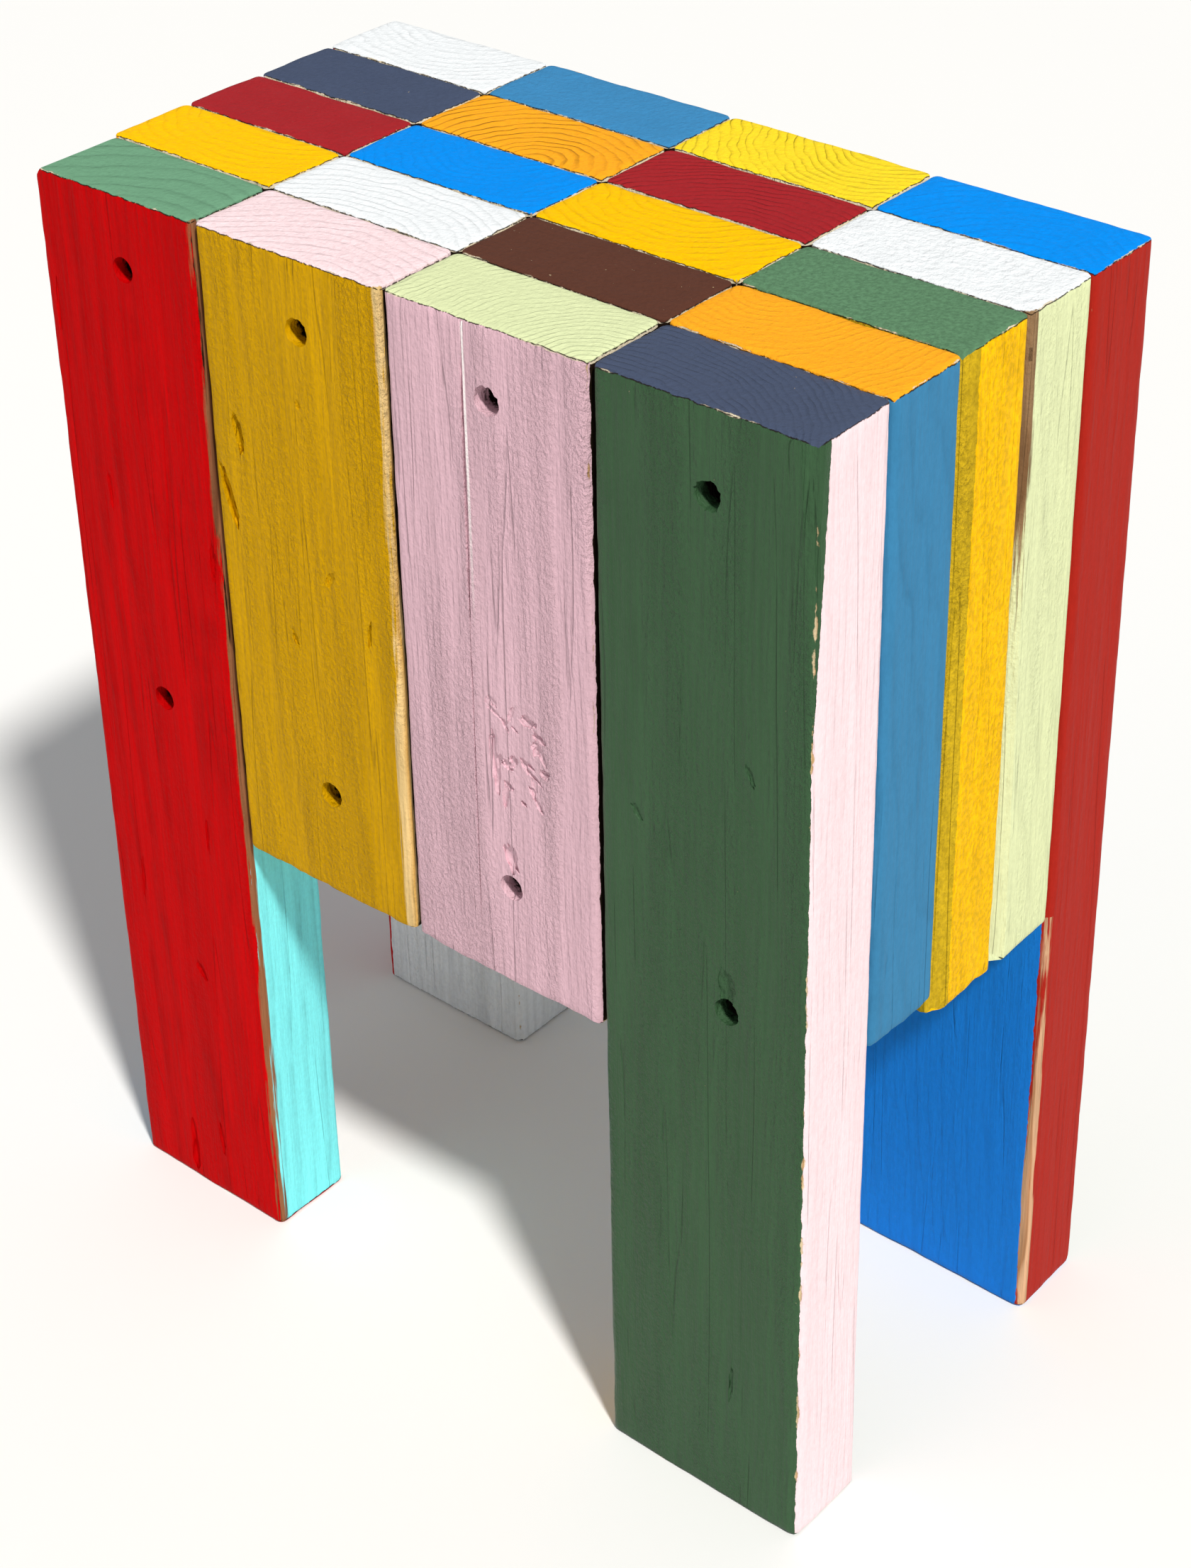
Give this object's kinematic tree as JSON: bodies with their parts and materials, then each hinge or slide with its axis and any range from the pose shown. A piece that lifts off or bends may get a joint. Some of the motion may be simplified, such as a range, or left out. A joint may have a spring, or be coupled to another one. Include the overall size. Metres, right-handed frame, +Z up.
{
  "type": "painted block stool",
  "caption": "Low stool of upright painted softwood blocks packed in a grid; the longer corner blocks serve as legs.",
  "frame": {"origin": "on the floor, under the middle of the stool", "axes": "+Z up, +Y to the back, +X to the right seen from the front"},
  "size_m": [0.349, 0.19, 0.457],
  "materials": {
    "brick_red_paint": "brushed gloss enamel over softwood, worn at the edges",
    "bright_blue_paint": "brushed gloss enamel over softwood, worn at the edges",
    "brown_paint": "brushed gloss enamel over softwood, worn at the edges",
    "dark_red_paint": "brushed gloss enamel over softwood, worn at the edges",
    "dowel_beech": "bare, sanded",
    "forest_green_paint": "brushed gloss enamel over softwood, worn at the edges",
    "golden_paint": "brushed gloss enamel over softwood, worn at the edges",
    "lemon_paint": "brushed gloss enamel over softwood, worn at the edges",
    "mustard_paint": "brushed gloss enamel over softwood, worn at the edges",
    "navy_paint": "brushed gloss enamel over softwood, worn at the edges",
    "orange_paint": "brushed gloss enamel over softwood, worn at the edges",
    "pale_green_paint": "brushed gloss enamel over softwood, worn at the edges",
    "red_paint": "brushed gloss enamel over softwood, worn at the edges",
    "rose_paint": "brushed gloss enamel over softwood, worn at the edges",
    "steel_blue_paint": "brushed gloss enamel over softwood, worn at the edges",
    "white_paint": "brushed gloss enamel over softwood, worn at the edges",
    "zinc_screw": "zinc plated"
  },
  "bodies": {
    "root": {"front_left_leg": "red_paint", "front_row_inner_left_block": "mustard_paint", "front_row_inner_right_block": "rose_paint", "front_right_leg": "forest_green_paint", "second_row_outer_left_block": "golden_paint", "second_row_inner_left_block": "white_paint", "second_row_inner_right_block": "brown_paint", "second_row_outer_right_block": "steel_blue_paint", "middle_row_outer_left_block": "dark_red_paint", "middle_row_inner_left_block": "bright_blue_paint", "middle_row_inner_right_block": "golden_paint", "middle_row_outer_right_block": "golden_paint", "fourth_row_outer_left_block": "navy_paint", "fourth_row_inner_left_block": "orange_paint", "fourth_row_inner_right_block": "dark_red_paint", "fourth_row_outer_right_block": "pale_green_paint", "back_left_leg": "white_paint", "back_row_inner_left_block": "steel_blue_paint", "back_row_inner_right_block": "lemon_paint", "back_right_leg": "brick_red_paint", "front_row_screws": "zinc_screw", "second_row_screws": "zinc_screw", "middle_row_screws": "zinc_screw", "fourth_row_screws": "zinc_screw", "left_joint_dowels": "dowel_beech", "centre_joint_dowels": "dowel_beech", "right_joint_dowels": "dowel_beech"}
  },
  "joints": []
}
